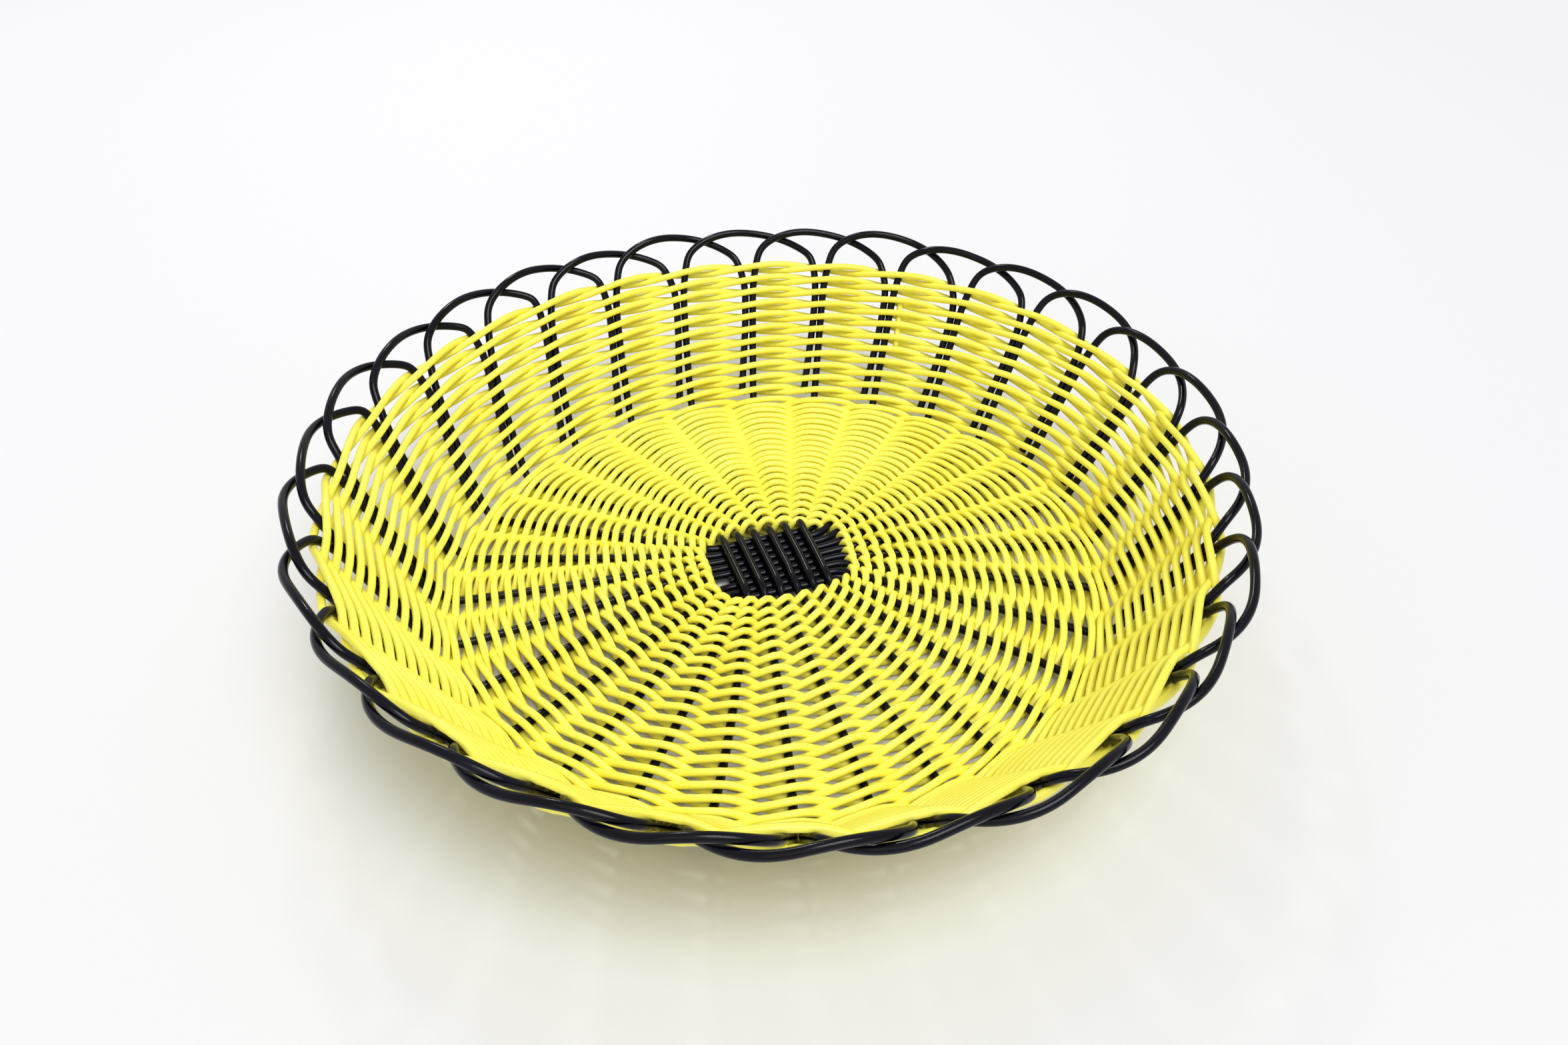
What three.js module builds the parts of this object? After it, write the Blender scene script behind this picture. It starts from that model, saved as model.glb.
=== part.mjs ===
// Round open basket hand-woven from solid plastic strand.
// Millimetres, +Z up. The origin is the middle of its outline, on the surface it stands on.
import * as THREE from 'three';

const degrees = THREE.MathUtils.degToRad;

// Strand
const blackDiameter = 3.1;
const yellowDiameter = 2.7;
const clearance = 0.35;
const strandSides = 6;

// Floor and wall, along the centre line of the black stakes
const stakeCount = 29;
const firstStakeAngle = degrees(59.5);
const stakeStep = (2 * Math.PI) / stakeCount;
const stakeHeight = yellowDiameter + blackDiameter / 2;
const cornerRadius = 120;
const rimRadius = 156.7;
const rimHeight = 58;
const wallAngle = Math.atan2(rimHeight - stakeHeight, rimRadius - cornerRadius);
const wallLength = Math.hypot(rimRadius - cornerRadius, rimHeight - stakeHeight);
const weaveStopsBelowRim = 1;
const bandSteps = 3;

// Scalloped border: each stake arches clockwise over two spaces and goes back down the wall
const borderAngle = degrees(42);
const borderReach = 11.2;
const reachUnevenness = 0.9;
const borderSpaces = 2;
const archSteps = 12;
const crossingRise = 1.95;
const crossingPower = 0.6;
const archPeak = 0.46;
const fallPower = 2.4;

// Each stake and the tail beside it, as distances up the wall and across it
const tailFoot = 6;
const tailAsideAtFoot = 5.2;
const tailAsideOnWall = 3.35;
const tailCloseFrom = 35;
const legsPartBelowRim = 18;
const risingLegParts = 2.2;
const fallingLegParts = 5;
const partingUnevenness = 1.6;
const riserPlaces = [0, 22, 44, 52, 58];
const tailPlaces = [tailFoot, tailCloseFrom, 46, 52, 58];

// Centre block: parallel bars laid over a layer of cross strands
const blockCentre = new THREE.Vector2(-1.8, 10.5);
const blockTurn = degrees(18.5);
const barCount = 6;
const barPitch = 6.3;
const barFlatHalf = 17.5;
const barEndHalf = 19.2;
const crossCount = 9;
const crossPitch = 3.75;
const crossShift = 0.6;
const crossExitRadius = 23.2;
const crossBend = 2.7;
const cutCross = 6;
const cutCrossHalf = 19.5;
const barRise = 3;
const crossDrop = blackDiameter + clearance - barRise;
const ringHalfAcross = 24.5;
const ringHalfAlong = 22.6;
const ringShift = 1.6;
const ringInset = 1;
const spokeSteps = 5;

// How far the hand-made shape strays from a round one: waves around the basket, each with
// its size, its number of crests and the direction of one crest.
const floorOutline = [{ size: 3, crests: 2, at: degrees(20) }];
const rimOutline = [{ size: 3, crests: 2, at: degrees(76) }, { size: 1.8, crests: 3, at: degrees(50) }];
const floorTwist = [
  { size: degrees(0.75), crests: 0, at: 0 },
  { size: degrees(1.55), crests: 1, at: degrees(-148) },
  { size: degrees(1.25), crests: 2, at: degrees(-32) },
  { size: degrees(0.95), crests: 3, at: degrees(33) },
];
const spokeBow = [
  { size: degrees(0.7), crests: 0, at: 0 },
  { size: degrees(1), crests: 1, at: degrees(-104) },
];
const rimTwist = [
  { size: degrees(-1.35), crests: 0, at: 0 },
  { size: degrees(2.75), crests: 1, at: degrees(-32) },
  { size: degrees(1.35), crests: 2, at: degrees(60) },
  { size: degrees(0.55), crests: 3, at: 0 },
];
const rimTilt = [{ size: 2.3, crests: 1, at: degrees(180) }];

// The stake that each bar and cross strand becomes, as its place clockwise from the first stake
const barFrontStake = (bar) => 13 - bar;
const barBackStake = (bar) => 22 + bar;
const crossRightStake = (cross) => (28 + cross) % stakeCount;
const crossLeftStake = (cross) => (cross + 1 < cutCross ? 21 - cross : 22 - cross);

// The end of a used-up weaver, tucked down beside a stake
const tuckedEndStake = 28;
const tuckedEnd = { top: 51, foot: 30, asideAtTop: 3.8, asideAtFoot: 5.5 };

const weaveColour = '#f6ec3f';
const stakeColour = '#24242c';

const basket = new THREE.Group();

function addPiece(name, geometry, colour) {
  const material = new THREE.MeshStandardMaterial({ color: colour, roughness: 0.35, metalness: 0 });
  const mesh = new THREE.Mesh(geometry, material);
  mesh.name = name;
  basket.add(mesh);
}

// A path with one straight run between each two points of a list, so that a strand
// gets one section at each point.
class StrandPath extends THREE.Curve {
  constructor(points) {
    super();
    this.points = points;
  }

  getPoint(t) {
    const place = t * (this.points.length - 1);
    const index = Math.min(Math.floor(place), this.points.length - 2);
    return this.points[index].clone().lerp(this.points[index + 1], place - index);
  }

  getPointAt(t) {
    return this.getPoint(t);
  }

  getTangentAt(t) {
    const half = 0.5 / (this.points.length - 1);
    const before = this.getPoint(Math.max(0, t - half));
    const after = this.getPoint(Math.min(1, t + half));
    return after.sub(before).normalize();
  }
}

const wave = (terms, angle) => terms.reduce(
  (sum, { size, crests, at }) => sum + size * Math.cos(crests * (angle - at)),
  0,
);

// Moves a point of the round basket to its place on the uneven, hand-made one.
function shapeByHand(point) {
  const radius = Math.hypot(point.x, point.y);
  const angle = Math.atan2(point.y, point.x);
  const upWall = Math.max(0, (point.z - stakeHeight) / (rimHeight - stakeHeight));
  const overFloor = Math.min(1, radius / cornerRadius);
  const outward = THREE.MathUtils.lerp(
    wave(floorOutline, angle) * overFloor ** 2,
    wave(rimOutline, angle),
    upWall,
  );
  const bow = 4 * overFloor * (1 - overFloor) * wave(spokeBow, angle);
  const floorTurn = wave(floorTwist, angle) * overFloor + bow;
  const turn = THREE.MathUtils.lerp(floorTurn, wave(rimTwist, angle), upWall);
  point.set(
    (radius + outward) * Math.cos(angle + turn),
    (radius + outward) * Math.sin(angle + turn),
    point.z + wave(rimTilt, angle) * Math.min(1, upWall),
  );
  return point;
}

function shapeGeometryByHand(geometry) {
  const { position } = geometry.attributes;
  const point = new THREE.Vector3();
  for (let index = 0; index < position.count; index += 1) {
    shapeByHand(point.fromBufferAttribute(position, index));
    position.setXYZ(index, point.x, point.y, point.z);
  }
  geometry.computeVertexNormals();
  return geometry;
}

function strandGeometry(route, diameter) {
  const points = route.map((point) => shapeByHand(point.clone()));
  const section = new THREE.Shape();
  for (let side = 0; side < strandSides; side += 1) {
    const angle = (side / strandSides) * 2 * Math.PI;
    const x = (diameter / 2) * Math.cos(angle);
    const y = (diameter / 2) * Math.sin(angle);
    if (side === 0) {
      section.moveTo(x, y);
    } else {
      section.lineTo(x, y);
    }
  }
  section.closePath();
  return new THREE.ExtrudeGeometry(section, {
    steps: points.length - 1,
    bevelEnabled: false,
    extrudePath: new StrandPath(points),
  });
}

const stakeAngle = (stake) => firstStakeAngle - stake * stakeStep;

function polarPoint(angle, radius, height) {
  return new THREE.Vector3(radius * Math.cos(angle), radius * Math.sin(angle), height);
}

// A point on the stakes' surface, a distance up the wall from the corner.
function wallPoint(angle, up) {
  const radius = cornerRadius + up * Math.cos(wallAngle);
  return polarPoint(angle, radius, stakeHeight + up * Math.sin(wallAngle));
}

// A point of the border, out from the rim and above or below the border's own surface.
function borderPoint(angle, out, above) {
  const radius = rimRadius + out * Math.cos(borderAngle) - above * Math.sin(borderAngle);
  return polarPoint(angle, radius, rimHeight + out * Math.sin(borderAngle) + above * Math.cos(borderAngle));
}

// No two arches made by hand are quite alike.
const archReach = (stake) => borderReach + reachUnevenness * Math.sin(2.4 * stake);
const fallingLegSpread = (stake) => fallingLegParts + partingUnevenness * Math.sin(1.7 * stake);

// How far the two legs beside each other have parted, from none below to all at the rim.
const partedShare = (up) => Math.max(0, 1 - (wallLength - up) / legsPartBelowRim) ** 2;
const risingAside = (up) => -risingLegParts * partedShare(up);

function tailAside(stake, up) {
  const closed = Math.min(1, up / tailCloseFrom);
  const onWall = THREE.MathUtils.lerp(tailAsideAtFoot, tailAsideOnWall, closed);
  return onWall + fallingLegSpread(stake) * partedShare(up);
}

// The rising half of an arch lies over the arch before it, and the falling half under the next one.
function archPoints(stake) {
  const start = stakeAngle(stake) + risingAside(wallLength) / rimRadius;
  const end = stakeAngle(stake + borderSpaces) + tailAside(stake, wallLength) / rimRadius;
  const points = [];
  for (let step = 0; step <= archSteps; step += 1) {
    const turn = (step / archSteps) * Math.PI;
    const along = (1 - Math.cos(turn)) / 2;
    const side = Math.sin(2 * Math.PI * along);
    const above = crossingRise * Math.sign(side) * Math.abs(side) ** crossingPower;
    const out = along < archPeak
      ? Math.sqrt(1 - (1 - along / archPeak) ** 2)
      : 1 - ((along - archPeak) / (1 - archPeak)) ** fallPower;
    points.push(borderPoint(THREE.MathUtils.lerp(start, end, along), archReach(stake) * out, above));
  }
  return points;
}

// Up the wall through a list of places, at a distance across it from the centre line of a stake.
function wallRun(stake, places, aside) {
  return places.map((up) => {
    const radius = cornerRadius + up * Math.cos(wallAngle);
    return wallPoint(stakeAngle(stake) + aside(up) / radius, up);
  });
}

// A point of the block, by its place across the bars, its place along them and its height.
function blockPoint(across, along, height) {
  const x = blockCentre.x + across * Math.cos(blockTurn) + along * Math.sin(blockTurn);
  const y = blockCentre.y + across * Math.sin(blockTurn) - along * Math.cos(blockTurn);
  return new THREE.Vector3(x, y, height);
}

// From its exit the strand takes the straightest way over the floor to its own place at the corner.
// The rings of the floor shift from the block's centre to the basket's on the way out.
function spokePoints(stake, exit) {
  const startAngle = Math.atan2(exit.y - blockCentre.y, exit.x - blockCentre.x);
  const startRadius = Math.hypot(exit.x - blockCentre.x, exit.y - blockCentre.y);
  const turnBack = startAngle - stakeAngle(stake);
  const turn = Math.atan2(Math.sin(turnBack), Math.cos(turnBack));
  const points = [exit];
  for (let step = 1; step < spokeSteps; step += 1) {
    const radius = THREE.MathUtils.lerp(startRadius, cornerRadius, (step / spokeSteps) ** 1.4);
    const centreShare = (cornerRadius - radius) / (cornerRadius - startRadius);
    const angle = stakeAngle(stake) + (turn * centreShare * startRadius) / radius;
    const point = polarPoint(angle, radius, stakeHeight);
    point.x += blockCentre.x * centreShare;
    point.y += blockCentre.y * centreShare;
    points.push(point);
  }
  return points;
}

// One end of a strand: over the floor, up the wall, round its arch and down beside a later stake.
function stakeEnd(stake, exit) {
  const riser = wallRun(stake, [...riserPlaces, wallLength], risingAside);
  const tailPlace = (up) => tailAside(stake, up);
  const tail = wallRun(stake + borderSpaces, [...tailPlaces, wallLength], tailPlace);
  const arch = archPoints(stake).slice(1, -1);
  return [...spokePoints(stake, exit), ...riser, ...arch, ...tail.reverse()];
}

function barPoints(bar) {
  const across = (bar - (barCount - 1) / 2) * barPitch;
  const height = stakeHeight + barRise;
  const back = stakeEnd(barBackStake(bar), blockPoint(across, -barEndHalf, stakeHeight));
  const front = stakeEnd(barFrontStake(bar), blockPoint(across, barEndHalf, stakeHeight));
  const flat = [blockPoint(across, -barFlatHalf, height), blockPoint(across, barFlatHalf, height)];
  return [...back.reverse(), ...flat, ...front];
}

function crossPoints(cross) {
  const along = (cross - (crossCount - 1) / 2) * crossPitch + crossShift;
  const height = stakeHeight - crossDrop;
  const endHalf = Math.sqrt(crossExitRadius ** 2 - along ** 2);
  const flatHalf = endHalf - crossBend;
  const right = stakeEnd(crossRightStake(cross), blockPoint(endHalf, along, stakeHeight));
  const flatRight = blockPoint(flatHalf, along, height);
  if (cross + 1 === cutCross) {
    return [blockPoint(-cutCrossHalf, along, height), flatRight, ...right];
  }
  const left = stakeEnd(crossLeftStake(cross), blockPoint(-endHalf, along, stakeHeight));
  return [...left.reverse(), blockPoint(-flatHalf, along, height), flatRight, ...right];
}

// The first row of the weave hugs the block as a rounded square, wider at its front than at its back.
function firstRowRadius(angle) {
  const turned = angle - blockTurn;
  const across = Math.abs(Math.cos(turned)) / ringHalfAcross;
  const along = Math.abs(Math.sin(turned)) / ringHalfAlong;
  return (across ** 4 + along ** 4) ** -0.25 - ringShift * Math.sin(turned);
}

// One layer of the floor weave: a flat ring around the centre block.
function floorLayer(outerRadius, lowest) {
  const ring = new THREE.Shape();
  ring.absarc(0, 0, outerRadius, 0, 2 * Math.PI, false);
  const edge = Array.from({ length: 2 * stakeCount }, (_, side) => {
    const angle = (-side * Math.PI) / stakeCount;
    const radius = firstRowRadius(angle) - ringInset;
    return new THREE.Vector2(radius * Math.cos(angle), radius * Math.sin(angle)).add(blockCentre);
  });
  ring.holes.push(new THREE.Path([...edge, edge[0].clone()]));
  const depth = yellowDiameter - clearance;
  const layer = new THREE.ExtrudeGeometry(ring, { depth, bevelEnabled: false, curveSegments: stakeCount });
  return shapeGeometryByHand(layer.translate(0, 0, lowest));
}

// One layer of the wall weave: a flared band at a distance to the inner or outer side of the stakes.
function wallLayer(nearFace, farFace) {
  const mitre = Math.tan(wallAngle / 2);
  const top = wallLength - weaveStopsBelowRim;
  const facePoints = (face) => {
    const foot = new THREE.Vector2(cornerRadius - face * mitre, stakeHeight + face);
    const rim = new THREE.Vector2(
      cornerRadius + top * Math.cos(wallAngle) - face * Math.sin(wallAngle),
      stakeHeight + top * Math.sin(wallAngle) + face * Math.cos(wallAngle),
    );
    return Array.from({ length: bandSteps + 1 }, (_, step) => foot.clone().lerp(rim, step / bandSteps));
  };
  const profile = [...facePoints(nearFace), ...facePoints(farFace).reverse()];
  if (farFace < nearFace) {
    profile.reverse();
  }
  profile.push(profile[0].clone());
  const band = new THREE.LatheGeometry(profile, 2 * stakeCount, firstStakeAngle + Math.PI / 2);
  return shapeGeometryByHand(band.rotateX(Math.PI / 2));
}

function tuckedEndPoints() {
  const angle = stakeAngle(tuckedEndStake);
  const { top, foot, asideAtTop, asideAtFoot } = tuckedEnd;
  const radiusAt = (up) => cornerRadius + up * Math.cos(wallAngle);
  return [
    wallPoint(angle - asideAtFoot / radiusAt(foot), foot),
    wallPoint(angle - asideAtTop / radiusAt(top), top),
  ];
}

for (let bar = 0; bar < barCount; bar += 1) {
  addPiece(`upper_strand_${bar + 1}`, strandGeometry(barPoints(bar), blackDiameter), stakeColour);
}
for (let cross = 0; cross < crossCount; cross += 1) {
  addPiece(`lower_strand_${cross + 1}`, strandGeometry(crossPoints(cross), blackDiameter), stakeColour);
}

const nearFace = blackDiameter / 2 + clearance;
const farFace = blackDiameter / 2 + yellowDiameter;
const insideCorner = cornerRadius - farFace * Math.tan(wallAngle / 2) - 2 * clearance;
const outsideCorner = cornerRadius + nearFace * Math.tan(wallAngle / 2) - 2 * clearance;
addPiece('floor_weave_top', floorLayer(insideCorner, stakeHeight + nearFace), weaveColour);
addPiece('floor_weave_under', floorLayer(outsideCorner, 0), weaveColour);
addPiece('wall_weave_inner', wallLayer(nearFace, farFace), weaveColour);
addPiece('wall_weave_outer', wallLayer(-nearFace, -farFace), weaveColour);
addPiece('tucked_weaver_end', strandGeometry(tuckedEndPoints(), yellowDiameter), weaveColour);

// Put the middle of the outline over the origin.
const outlineMiddle = new THREE.Box3().setFromObject(basket).getCenter(new THREE.Vector3());
basket.position.set(-outlineMiddle.x, -outlineMiddle.y, 0);

export default basket;
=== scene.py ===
"""Round open basket hand-woven from solid plastic strand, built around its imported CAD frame.

Lengths in the shape functions are millimetres, in the frame of an even, round basket.
place() gives a point its hand-made unevenness and turns it into metres in the CAD frame.
"""

import math

import bpy
import numpy as np
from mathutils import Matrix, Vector


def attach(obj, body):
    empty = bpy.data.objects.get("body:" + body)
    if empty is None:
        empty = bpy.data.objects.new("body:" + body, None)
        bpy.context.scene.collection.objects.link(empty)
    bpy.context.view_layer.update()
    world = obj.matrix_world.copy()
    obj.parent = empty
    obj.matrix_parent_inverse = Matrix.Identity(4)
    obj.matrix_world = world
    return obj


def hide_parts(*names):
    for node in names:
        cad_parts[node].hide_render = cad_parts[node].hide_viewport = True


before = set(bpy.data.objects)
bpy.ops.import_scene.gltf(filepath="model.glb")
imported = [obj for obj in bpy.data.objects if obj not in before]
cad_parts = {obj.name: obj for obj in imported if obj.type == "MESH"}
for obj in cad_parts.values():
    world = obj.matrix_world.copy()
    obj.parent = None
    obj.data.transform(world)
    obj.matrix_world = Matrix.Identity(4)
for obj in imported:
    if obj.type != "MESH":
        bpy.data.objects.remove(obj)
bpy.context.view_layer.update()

# Strand
BLACK_RADIUS = 1.55
YELLOW_RADIUS = 1.35
BLACK_SIDES = 14
YELLOW_SIDES = 12

# Floor and wall, along the centre line of the black stakes
STAKES = 29
STEP = 2 * math.pi / STAKES
FIRST_STAKE = math.radians(59.5)
STAKE_HEIGHT = 2 * YELLOW_RADIUS + BLACK_RADIUS
CORNER = 120.0
RIM = 156.7
RIM_HEIGHT = 58.0
WALL_ANGLE = math.atan2(RIM_HEIGHT - STAKE_HEIGHT, RIM - CORNER)
WALL_LENGTH = math.hypot(RIM - CORNER, RIM_HEIGHT - STAKE_HEIGHT)
CORNER_BEND = 5.0  # how far to each side of the corner the strands start to bend
OUTLINE_SHIFT = np.array([1.524, 1.820, 0.0])  # from the round basket's axis to the CAD origin

# Border
BORDER_ANGLE = math.radians(42)
BORDER_REACH = 11.2
REACH_UNEVENNESS = 0.9
REACH_CHANGE = 2.4  # radians of a sine from one arch to the next
CROSSING_RISE = 2.0
CROSSING_POWER = 0.9
ARCH_PEAK = 0.46
FALL_POWER = 2.4

# Each stake and the tail beside it, as distances up the wall and across it
TAIL_FOOT = 6.0
TAIL_ASIDE_FOOT = 5.2
TAIL_ASIDE_WALL = 3.35
TAIL_CLOSE_FROM = 35.0
LEGS_PART_BELOW_RIM = 18.0
RISING_LEG_PARTS = 2.2
FALLING_LEG_PARTS = 5.0
PARTING_UNEVENNESS = 1.6
PARTING_CHANGE = 1.7  # radians of a sine from one stake to the next
WEAVE_SPREADS_FROM = 2.0  # where the weave starts to take in the tail with its stake
WEAVE_SPREADS_OVER = 6.0

# Centre block: bars lie over crosses, and both become stakes at their ends
BLOCK = np.array([-1.8, 10.5])
BLOCK_TURN = math.radians(18.5)
BARS = 6
BAR_PITCH = 6.3
BAR_FLAT = 17.5
BAR_END = 19.2
BAR_BACK_STAKE = 22  # the stakes that the leftmost bar becomes
BAR_FRONT_STAKE = 13
CROSSES = 9
CROSS_PITCH = 3.85
CROSS_SHIFT = 1.2
CROSS_EXIT = 24.8
CROSS_BEND = 3.5
CROSS_LEFT_STAKE = 21  # the stakes that the rearmost cross becomes
CROSS_RIGHT_STAKE = 28
CUT_CROSS = 6
CUT_CROSS_HALF = 19.5
BAR_RISE = 3.0
CROSS_DROP = 0.45

# Weave: a pair of weavers, twined, makes one row each time round
ROWS = 31.6
FLOOR_ROWS = 19.6
TOP_ROW = 63.0  # how far up the wall the last row lies
FIRST_ROW = 25.3  # the first row's radius if it were round
RING_ACROSS = 24.5  # half sizes of the rounded square that the first row makes, and its shift forward
RING_ALONG = 21.1
RING_SHIFT = -0.2
WEAVE_RISE = BLACK_RADIUS + YELLOW_RADIUS
TWIST_ASIDE = 1.25  # how far from the row's middle the two lie where they pass each other
TWIST_EARLY = 0.11
PAIR_WANDER = 0.22  # how far the pair and each weaver wander, and the seeds of that
PAIR_SEED = 11
OWN_WANDER = 0.1
OWN_SEED = 21

# Tucked end of a used-up weaver
TUCKED_STAKE = 28
TUCKED_POINTS = 12
TUCKED_UP = (30, 51)
TUCKED_ASIDE = (-5.5, -3.8)

# Sampling of the black routes before they become tubes
FINE_STEP = 0.4
ROUTE_STEP = 1.6
KINK_ROUNDING = 2.4

# Hand-made unevenness. Each wave round the basket is its size, its number of crests and where one
# crest is, in degrees; a wave of no crests is the same all round. Sizes are millimetres for OUT and
# UP, degrees for TURN and BOW, rows for MORE_ROWS and a share of their spacing for BUNCHED_ROWS.
FLOOR_OUT = [(3, 2, 20)]
RIM_OUT = [(3, 2, 76), (1.8, 3, 50)]
RIM_UP = [(2.3, 1, 180)]
FLOOR_TURN = [(0.75, 0, 0), (1.55, 1, -148), (1.25, 2, -32), (0.95, 3, 33)]
FLOOR_BOW = [(0.7, 0, 0), (1, 1, -104)]
RIM_TURN = [(-1.35, 0, 0), (2.75, 1, -32), (1.35, 2, 60), (0.55, 3, 0)]
MORE_ROWS = [(0.4, 2, 0), (0.5, 1, 90)]
BUNCHED_ROWS = [(0.08, 1, -100)]

# Camera, in millimetres from the round basket's axis, and how far down it looks, in degrees
CAMERA_PLACE = (2.2, -356.4, 315.0)
CAMERA_DOWN = 38.51
CAMERA_LENS = 28.85
FLOOR_HALF = 4.0  # metres


def wave(angle, terms):
    """Sum of waves round the basket, at an angle."""
    return sum(size * np.cos(crests * (angle - math.radians(at))) for size, crests, at in terms)


def place(points):
    """Round-basket millimetres to CAD-frame metres, with the unevenness of a basket made by hand."""
    points = np.asarray(points, float)
    x, y, z = points[..., 0], points[..., 1], points[..., 2]
    radius, angle = np.hypot(x, y), np.arctan2(y, x)
    up = np.maximum(0, (z - STAKE_HEIGHT) / (RIM_HEIGHT - STAKE_HEIGHT))
    over_floor = np.minimum(1, radius / CORNER)
    floor_out = wave(angle, FLOOR_OUT) * over_floor**2
    rim_out = wave(angle, RIM_OUT)
    floor_turn = wave(angle, FLOOR_TURN) * over_floor
    floor_turn = floor_turn + wave(angle, FLOOR_BOW) * 4 * over_floor * (1 - over_floor)
    rim_turn = wave(angle, RIM_TURN)
    radius = radius + floor_out * (1 - up) + rim_out * up
    z = z + wave(angle, RIM_UP) * np.minimum(1, up)
    angle = angle + np.radians(floor_turn * (1 - up) + rim_turn * up)
    moved = np.stack([radius * np.cos(angle), radius * np.sin(angle), z], -1)
    return (moved + OUTLINE_SHIFT) / 1000


def smoothstep(x):
    x = np.clip(x, 0, 1)
    return x * x * (3 - 2 * x)


def profile(along, above):
    """Radius and height at a distance along the stakes, from the corner up the wall, and above them."""
    along, above = np.broadcast_arrays(np.asarray(along, float), np.asarray(above, float))
    q = np.clip((along + CORNER_BEND) / (2 * CORNER_BEND), 0, 1)
    ca, sa = math.cos(WALL_ANGLE), math.sin(WALL_ANGLE)
    bend = CORNER_BEND
    before = np.minimum(along + bend, 0)
    after = np.maximum(along - bend, 0)
    radius = CORNER - bend * (1 - q) ** 2 + bend * ca * q**2 + before + after * ca
    height = STAKE_HEIGHT + bend * sa * q**2 + after * sa
    slope = np.arctan2(q * sa, (1 - q) + q * ca)
    return radius - above * np.sin(slope), height + above * np.cos(slope)


def surface(along, angle, above, first=FIRST_ROW):
    """A point of the basket. On the floor the rings shift from the block's centre to the basket's."""
    radius, height = profile(along, above)
    share = np.clip(-np.asarray(along, float) / (CORNER - first), 0, 1)
    x = BLOCK[0] * share + radius * np.cos(angle)
    y = BLOCK[1] * share + radius * np.sin(angle)
    return np.stack(np.broadcast_arrays(x, y, height), -1)


def stake_angle(stake):
    """Stakes are numbered clockwise, seen from above."""
    return FIRST_STAKE - stake * STEP


# ---- black strands ----


def block_point(across, along, height):
    """A point of the centre block: across goes to its right and along to its front."""
    ca, sa = math.cos(BLOCK_TURN), math.sin(BLOCK_TURN)
    return np.array([BLOCK[0] + across * ca + along * sa, BLOCK[1] + across * sa - along * ca, height])


def exit_polar(stake, exit_point):
    """Start radius, start angle and turn of a strand that leaves the block for its spoke."""
    dx, dy = exit_point[0] - BLOCK[0], exit_point[1] - BLOCK[1]
    start = math.atan2(dy, dx)
    turn = stake_angle(stake) - start
    return math.hypot(dx, dy), start, math.atan2(math.sin(turn), math.cos(turn))


def floor_angle(exits, radius):
    """Angle of a spoke that runs nearly straight from the block to its stake at the corner."""
    start_radius, start, turn = exits
    share = np.clip((CORNER - radius) / (CORNER - start_radius), 0, 1)
    return start + turn * (1 - share * start_radius / radius)


def stake_floor(stake, exit_point):
    exits = exit_polar(stake, exit_point)
    radius = np.linspace(exits[0], CORNER - CORNER_BEND - 1, 60)
    return surface(radius - CORNER, floor_angle(exits, radius), 0, first=exits[0])


def parted_share(up):
    """How far the two legs beside each other have parted, from none below to all at the rim."""
    return np.maximum(0, 1 - (WALL_LENGTH - up) / LEGS_PART_BELOW_RIM) ** 2


def rising_aside(up):
    """Distance that a rising stake leans aside."""
    return -RISING_LEG_PARTS * parted_share(up)


def tail_aside(stake, up):
    """Distance of a tail from the stake it runs down beside."""
    closed = np.minimum(1, np.asarray(up) / TAIL_CLOSE_FROM)
    on_wall = TAIL_ASIDE_FOOT * (1 - closed) + TAIL_ASIDE_WALL * closed
    parts = FALLING_LEG_PARTS + PARTING_UNEVENNESS * math.sin(PARTING_CHANGE * stake)
    return on_wall + parts * parted_share(up)


def wall_run(stake, up, aside):
    return surface(up, stake_angle(stake) + aside / (CORNER + up * math.cos(WALL_ANGLE)), 0)


def border_point(angle, out, above):
    """A point of the border, which leans outwards from the rim."""
    ca, sa = math.cos(BORDER_ANGLE), math.sin(BORDER_ANGLE)
    radius = RIM + out * ca - above * sa
    height = RIM_HEIGHT + out * sa + above * ca
    return np.stack([radius * np.cos(angle), radius * np.sin(angle), height], -1)


def arch(stake):
    """One loop of the border, from its stake across the next one's loop to the stake after that."""
    turn = np.linspace(0, math.pi, 49)
    along = (1 - np.cos(turn)) / 2
    side = np.sin(2 * math.pi * along)
    above = CROSSING_RISE * np.sign(side) * np.abs(side) ** CROSSING_POWER
    start = stake_angle(stake) + rising_aside(WALL_LENGTH) / RIM
    end = stake_angle(stake + 2) + tail_aside(stake, WALL_LENGTH) / RIM
    rise = np.sqrt(1 - (1 - np.minimum(1, along / ARCH_PEAK)) ** 2)
    fall = 1 - (np.maximum(0, along - ARCH_PEAK) / (1 - ARCH_PEAK)) ** FALL_POWER
    reach = BORDER_REACH + REACH_UNEVENNESS * math.sin(REACH_CHANGE * stake)
    out = reach * np.where(along < ARCH_PEAK, rise, fall)
    return border_point(start + (end - start) * along, out, above)


def stake_end(stake, exit_point):
    """All of a strand outside the block: spoke, stake, arch and tail."""
    up = np.linspace(-CORNER_BEND, WALL_LENGTH, 50)
    riser = wall_run(stake, up, rising_aside(up))
    up = np.linspace(WALL_LENGTH, TAIL_FOOT, 40)
    tail = wall_run(stake + 2, up, tail_aside(stake, up))
    return np.concatenate([stake_floor(stake, exit_point), riser, arch(stake)[1:-1], tail])


def bar_stakes(bar):
    return BAR_BACK_STAKE + bar, BAR_FRONT_STAKE - bar


def cross_stakes(cross):
    """The cut cross has no left stake, so the next one takes the place of it."""
    left = CROSS_LEFT_STAKE - cross + (cross + 1 >= CUT_CROSS)
    return left, (CROSS_RIGHT_STAKE + cross) % STAKES


def bar_exit(bar, end):
    return block_point((bar - (BARS - 1) / 2) * BAR_PITCH, end * BAR_END, STAKE_HEIGHT)


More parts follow.
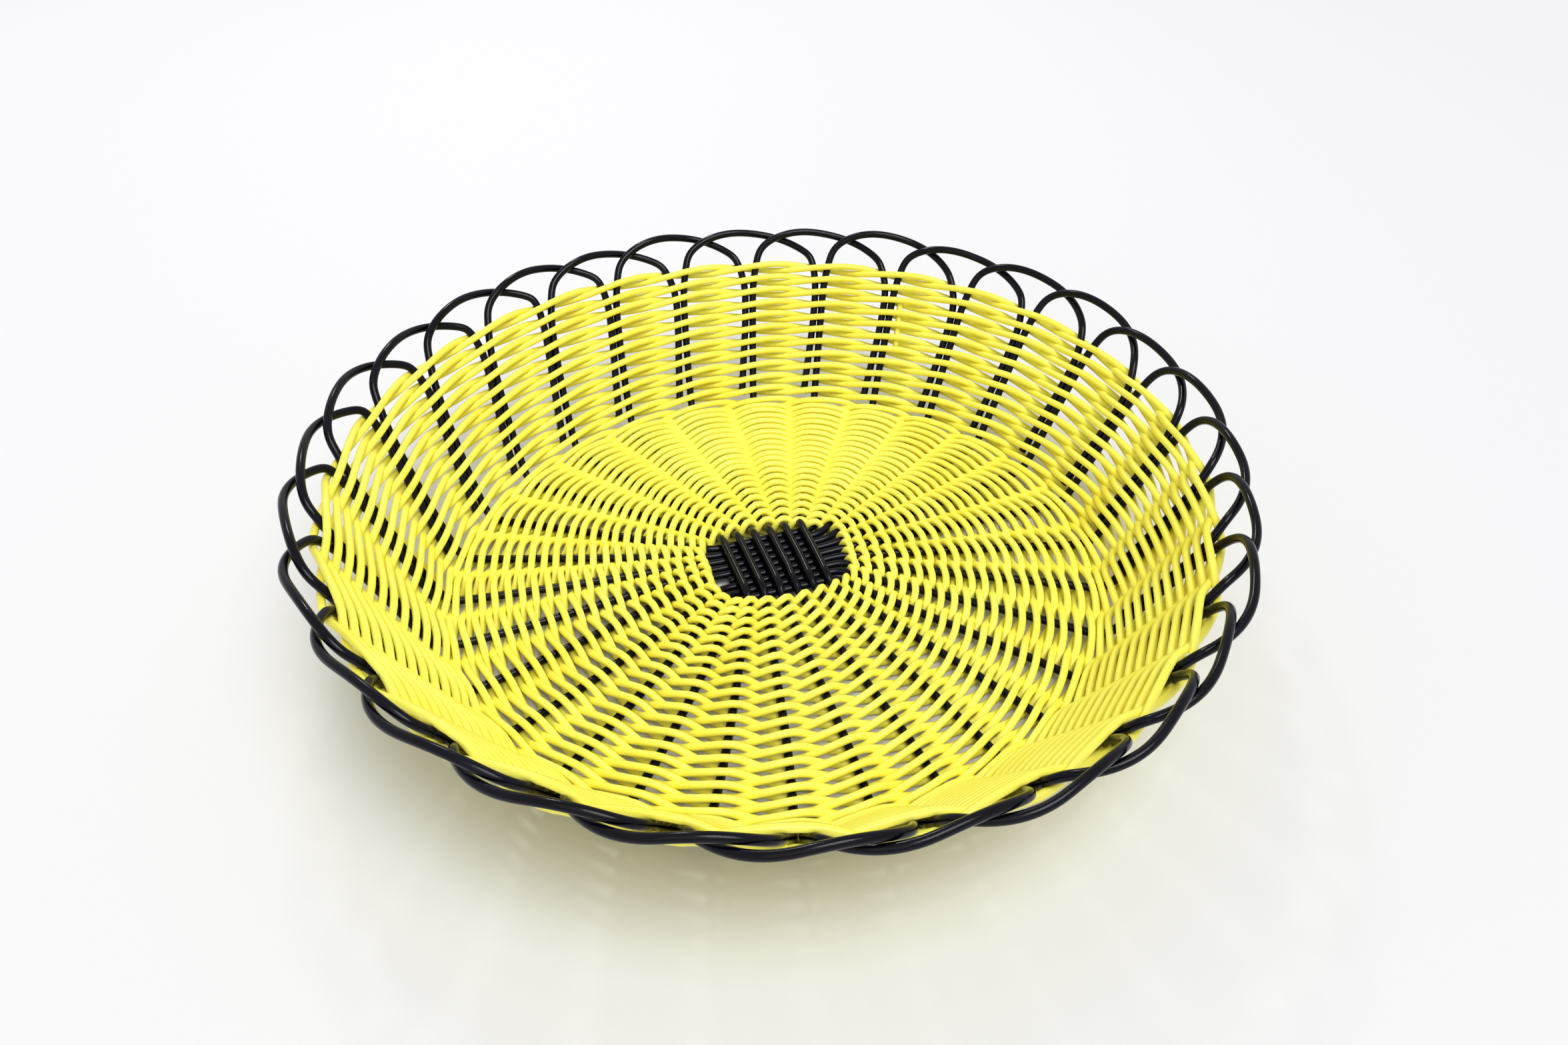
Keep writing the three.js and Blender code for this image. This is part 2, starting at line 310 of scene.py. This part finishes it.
def cross_half(cross):
    """Where a cross lies in the block, and half its length there."""
    along = (cross - (CROSSES - 1) / 2) * CROSS_PITCH + CROSS_SHIFT
    return along, math.sqrt(CROSS_EXIT**2 - along**2)


def cross_exit(cross, end):
    along, half = cross_half(cross)
    return block_point(end * half, along, STAKE_HEIGHT)


def bar_route(bar):
    across = (bar - (BARS - 1) / 2) * BAR_PITCH
    back, front = bar_stakes(bar)
    top = STAKE_HEIGHT + BAR_RISE
    back_end = stake_end(back, bar_exit(bar, -1))[::-1]
    front_end = stake_end(front, bar_exit(bar, 1))
    flat = [block_point(across, along, top) for along in np.linspace(-BAR_FLAT, BAR_FLAT, 12)]
    return np.concatenate([back_end, flat, front_end])


def cross_route(cross):
    along, half = cross_half(cross)
    left, right = cross_stakes(cross)
    low = STAKE_HEIGHT - CROSS_DROP
    flat = half - CROSS_BEND
    right_end = stake_end(right, cross_exit(cross, 1))
    if cross + 1 == CUT_CROSS:
        run = [block_point(a, along, low) for a in np.linspace(-CUT_CROSS_HALF, flat, 12)]
        return np.concatenate([run, right_end])
    run = [block_point(a, along, low) for a in np.linspace(-flat, flat, 12)]
    return np.concatenate([stake_end(left, cross_exit(cross, -1))[::-1], run, right_end])


def even_route(points):
    """The route resampled at an even spacing, with its kinks rounded as a springy strand rounds them."""
    steps = np.linalg.norm(np.diff(points, axis=0), axis=1)
    keep = np.concatenate([[True], steps > 1e-6])
    points = points[keep]
    length = np.concatenate([[0], np.cumsum(np.linalg.norm(np.diff(points, axis=0), axis=1))])
    fine = np.arange(0, length[-1], FINE_STEP)
    route = np.stack([np.interp(fine, length, points[:, i]) for i in range(3)], -1)
    reach = int(3 * KINK_ROUNDING / FINE_STEP)
    kernel = np.exp(-0.5 * (np.arange(-reach, reach + 1) * FINE_STEP / KINK_ROUNDING) ** 2)
    kernel /= kernel.sum()
    before = 2 * route[:1] - route[1 : reach + 1][::-1]
    after = 2 * route[-1:] - route[-reach - 1 : -1][::-1]
    padded = np.concatenate([before, route, after])
    route = np.stack([np.convolve(padded[:, i], kernel, "valid") for i in range(3)], -1)
    return route[:: int(ROUTE_STEP / FINE_STEP)]


# ---- weavers ----

EXITS = {}  # where each stake leaves the block
for bar in range(BARS):
    for stake, end in zip(bar_stakes(bar), (-1, 1)):
        EXITS[stake] = exit_polar(stake, bar_exit(bar, end))
for cross in range(CROSSES):
    for stake, end in zip(cross_stakes(cross), (-1, 1)):
        if end == 1 or cross + 1 != CUT_CROSS:
            EXITS[stake] = exit_polar(stake, cross_exit(cross, end))


def weave_angle(count, along):
    """Angle after a number of stakes, counter-clockwise, at a distance along the surface."""
    whole = np.floor(count).astype(int)
    part = count - whole

    def at(number):
        """Angle of a stake by its number in the weaver's way round, with its spoke's own turn."""
        stake = (-number) % STAKES
        angle = np.empty(len(number))
        radius = CORNER + along
        for k in range(STAKES):
            here = stake == k
            if here.any():
                exits = EXITS[k]
                angle[here] = floor_angle(exits, radius[here]) - exits[1] - exits[2]
        up = np.maximum(along, 0)
        aside = (rising_aside(up) + tail_aside(0, up)) / (CORNER + up * math.cos(WALL_ANGLE))
        on_wall = smoothstep((along - WEAVE_SPREADS_FROM) / WEAVE_SPREADS_OVER)
        return FIRST_STAKE + number * STEP + angle + aside / 2 * on_wall

    return at(whole) * (1 - part) + at(whole + 1) * part


def first_row(angle):
    """The first row hugs the block as a rounded square, a little closer at its front than its back."""
    turned = angle - BLOCK_TURN
    across = np.abs(np.cos(turned)) / RING_ACROSS
    along = np.abs(np.sin(turned)) / RING_ALONG
    return (across**4 + along**4) ** -0.25 - RING_SHIFT * np.sin(turned)


def row_place(turns, angle):
    """Distance of a row along the surface. The rows lie closer together on some sides than on others."""
    to_corner = FLOOR_ROWS + wave(angle, MORE_ROWS)
    over = np.minimum(turns / to_corner, 1)
    bunch = wave(angle, BUNCHED_ROWS) * np.sin(2 * math.pi * over) / (2 * math.pi)
    to_block = (first_row(angle) - FIRST_ROW) * (1 - over) ** 3
    floor = (FIRST_ROW - CORNER) * (1 - over + bunch) + to_block
    return floor + TOP_ROW * np.maximum(turns - to_corner, 0) / (ROWS - to_corner)


def soft_noise(count, seed, size):
    """A smooth random wander, with one value for each stake passed."""
    values = np.random.RandomState(seed).uniform(-size, size, int(count.max()) + 3)
    whole = np.floor(count).astype(int)
    part = smoothstep(count - whole)
    return values[whole] * (1 - part) + values[whole + 1] * part


def points_to_next_stake(row):
    """A weaver has more points where the stakes stand further apart."""
    if row < 5:
        return 5
    if row < 10:
        return 6
    return 8 if row < FLOOR_ROWS else 9


def weaver(side):
    """Centre line of one of the pair of weavers, side 0 or 1, and its direction into the basket.

    Each starts under the floor and ends outside the wall, so neither end shows from above.
    """
    spans = []
    first = 1 - side
    for number in range(first, int(ROWS * STAKES) + first):
        parts = points_to_next_stake(number / STAKES)
        spans.append(number + np.arange(parts) / parts)
    count = np.concatenate(spans)
    part = count - np.floor(count)
    emerging = (np.floor(count).astype(int) + side) % 2
    sign = np.where(emerging == 1, 1.0, -1.0)
    turned = part + TWIST_EARLY * np.sin(math.pi * part) ** 2
    lift = np.cos(math.pi * turned)
    above = -sign * WEAVE_RISE * lift
    row = row_place(count / STAKES, FIRST_STAKE + count * STEP)
    aside = sign * TWIST_ASIDE * np.sin(math.pi * part)
    wander = soft_noise(count, PAIR_SEED, PAIR_WANDER) + soft_noise(count, OWN_SEED + side, OWN_WANDER)
    along = row + aside + wander
    angle = weave_angle(count, row)
    line = place(surface(along, angle, above))
    over = place(surface(along, angle, above + 1.0))
    return line, over - line


# ---- meshes ----


def unit(v):
    return v / np.linalg.norm(v, axis=-1, keepdims=True)


def carried_normals(line):
    """Normals carried along a line without twist."""
    tangent = unit(np.gradient(line, axis=0))
    normal = np.empty_like(line)
    normal[0] = unit(np.cross(tangent[0], [0, 0, 1]))
    for i in range(1, len(line)):
        carried = normal[i - 1] - tangent[i] * np.dot(normal[i - 1], tangent[i])
        normal[i] = carried / np.linalg.norm(carried)
    return normal


def tube(name, line, normal, radius, sides):
    """A closed round strand along a line, in metres."""
    tangent = unit(np.gradient(line, axis=0))
    side = unit(np.cross(tangent, normal))
    normal = np.cross(side, tangent)
    turn = np.arange(sides) * 2 * math.pi / sides
    cosine, sine = np.cos(turn)[None, :, None], np.sin(turn)[None, :, None]
    ring = radius * (cosine * normal[:, None, :] + sine * side[:, None, :])
    verts = (line[:, None, :] + ring).reshape(-1, 3)
    rings = len(line)
    i = np.arange(rings - 1)[:, None] * sides
    j = np.arange(sides)[None, :]
    k = (j + 1) % sides
    quads = np.stack([i + j, i + sides + j, i + sides + k, i + k], -1).reshape(-1, 4)
    first_cap = list(range(sides))
    last_cap = list(range((rings - 1) * sides, rings * sides))[::-1]
    mesh = bpy.data.meshes.new(name)
    mesh.from_pydata(verts.tolist(), [], quads.tolist() + [first_cap, last_cap])
    mesh.polygons.foreach_set("use_smooth", [True] * len(quads) + [False, False])
    mesh.update()
    obj = bpy.data.objects.new(name, mesh)
    bpy.context.scene.collection.objects.link(obj)
    return obj


# ---- materials ----


def strand_material(name, colour, shade, roughness, specular):
    """Extruded plastic: a faint change of tone and gloss along the strand, and fine extrusion marks."""
    material = bpy.data.materials.new(name)
    material.use_nodes = True
    nodes, links = material.node_tree.nodes, material.node_tree.links
    shader = nodes["Principled BSDF"]
    shader.inputs["Specular IOR Level"].default_value = specular
    coords = nodes.new("ShaderNodeTexCoord")
    tone = nodes.new("ShaderNodeTexNoise")
    tone.inputs["Scale"].default_value = 38.0
    tone.inputs["Detail"].default_value = 3.0
    links.new(coords.outputs["Object"], tone.inputs["Vector"])
    ramp = nodes.new("ShaderNodeValToRGB")
    ramp.color_ramp.elements[0].position = 0.3
    ramp.color_ramp.elements[0].color = (*shade, 1)
    ramp.color_ramp.elements[1].position = 0.62
    ramp.color_ramp.elements[1].color = (*colour, 1)
    links.new(tone.outputs["Fac"], ramp.inputs["Fac"])
    links.new(ramp.outputs["Color"], shader.inputs["Base Color"])
    gloss = nodes.new("ShaderNodeMapRange")
    gloss.inputs["To Min"].default_value = roughness - 0.06
    gloss.inputs["To Max"].default_value = roughness + 0.1
    links.new(tone.outputs["Fac"], gloss.inputs["Value"])
    links.new(gloss.outputs["Result"], shader.inputs["Roughness"])
    marks = nodes.new("ShaderNodeTexNoise")
    marks.inputs["Scale"].default_value = 1400.0
    marks.inputs["Detail"].default_value = 4.0
    links.new(coords.outputs["Object"], marks.inputs["Vector"])
    bump = nodes.new("ShaderNodeBump")
    bump.inputs["Strength"].default_value = 0.12
    bump.inputs["Distance"].default_value = 0.0002
    links.new(marks.outputs["Fac"], bump.inputs["Height"])
    links.new(bump.outputs["Normal"], shader.inputs["Normal"])
    return material


yellow = strand_material(
    "weave_plastic", colour=(0.94, 0.885, 0.11), shade=(0.92, 0.82, 0.07), roughness=0.34, specular=0.5
)
black = strand_material(
    "stake_plastic", colour=(0.002, 0.002, 0.006), shade=(0.001, 0.001, 0.003), roughness=0.15, specular=0.2
)

# ---- pieces ----


def piece(obj, material, slot, *nodes):
    obj.data.materials.append(material)
    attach(obj, "root")
    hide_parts(*nodes)


def black_strand(name, route, node):
    line = place(even_route(route))
    strand = tube(name, line, carried_normals(line), BLACK_RADIUS / 1000, BLACK_SIDES)
    piece(strand, black, "stake_strand", node)


for bar in range(BARS):
    black_strand(f"upper_base_strand_{bar + 1}", bar_route(bar), f"upper_strand_{bar + 1}")
for cross in range(CROSSES):
    black_strand(f"lower_base_strand_{cross + 1}", cross_route(cross), f"lower_strand_{cross + 1}")

LAYERS = (("floor_weave_top", "wall_weave_inner"), ("floor_weave_under", "wall_weave_outer"))
for side, layers in enumerate(LAYERS):
    line, over = weaver(side)
    strand = tube(f"weaver_{'ab'[side]}", line, over, YELLOW_RADIUS / 1000, YELLOW_SIDES)
    piece(strand, yellow, "weave_strand", *layers)

up = np.linspace(*TUCKED_UP, TUCKED_POINTS)
aside = np.linspace(*TUCKED_ASIDE, TUCKED_POINTS)
tucked = place(wall_run(TUCKED_STAKE, up, aside))
strand = tube("spliced_weaver_end", tucked, carried_normals(tucked), YELLOW_RADIUS / 1000, YELLOW_SIDES)
piece(strand, yellow, "weave_strand", "tucked_weaver_end")

# ---- camera, floor and light ----

camera_data = bpy.data.cameras.new("camera")
camera_data.sensor_width = 36
camera_data.lens = CAMERA_LENS
camera_data.clip_end = 20
camera = bpy.data.objects.new("camera", camera_data)
camera.location = Vector(CAMERA_PLACE) / 1000 + Vector(OUTLINE_SHIFT / 1000)
camera.rotation_euler = (math.radians(90 - CAMERA_DOWN), 0, 0)
bpy.context.scene.collection.objects.link(camera)
bpy.context.scene.camera = camera

corners = [(x * FLOOR_HALF, y * FLOOR_HALF, 0) for x, y in ((-1, -1), (1, -1), (1, 1), (-1, 1))]
floor_mesh = bpy.data.meshes.new("floor")
floor_mesh.from_pydata(corners, [], [(0, 1, 2, 3)])
floor = bpy.data.objects.new("floor", floor_mesh)
bpy.context.scene.collection.objects.link(floor)
floor_material = bpy.data.materials.new("pale_floor")
floor_material.use_nodes = True
floor_shader = floor_material.node_tree.nodes["Principled BSDF"]
floor_shader.inputs["Base Color"].default_value = (0.72, 0.72, 0.735, 1)
floor_shader.inputs["Roughness"].default_value = 0.55
floor_mesh.materials.append(floor_material)

world = bpy.data.worlds.new("studio")
world.use_nodes = True
background = world.node_tree.nodes["Background"]
background.inputs["Color"].default_value = (1.0, 1.0, 1.0, 1)
background.inputs["Strength"].default_value = 0.62
bpy.context.scene.world = world


def area_light(name, place_at, size, power):
    """A square light that faces the basket, in metres and watts."""
    data = bpy.data.lights.new(name, "AREA")
    data.shape = "SQUARE"
    data.size = size
    data.energy = power
    light = bpy.data.objects.new(name, data)
    light.location = place_at
    light.rotation_euler = (-Vector(place_at)).to_track_quat("-Z", "Y").to_euler()
    bpy.context.scene.collection.objects.link(light)


sun = bpy.data.lights.new("sun", "SUN")
sun.energy = 2.0
sun.angle = 0.6
sun_object = bpy.data.objects.new("sun", sun)
sun_object.rotation_euler = Vector((0.3, -0.38, 1.0)).to_track_quat("Z", "Y").to_euler()
bpy.context.scene.collection.objects.link(sun_object)
area_light("fill", (-0.2, -1.3, 1.2), size=1.2, power=3)
area_light("glint", (-0.3, 0.9, 1.0), size=0.15, power=2.4)

bpy.context.scene.view_settings.view_transform = "Standard"
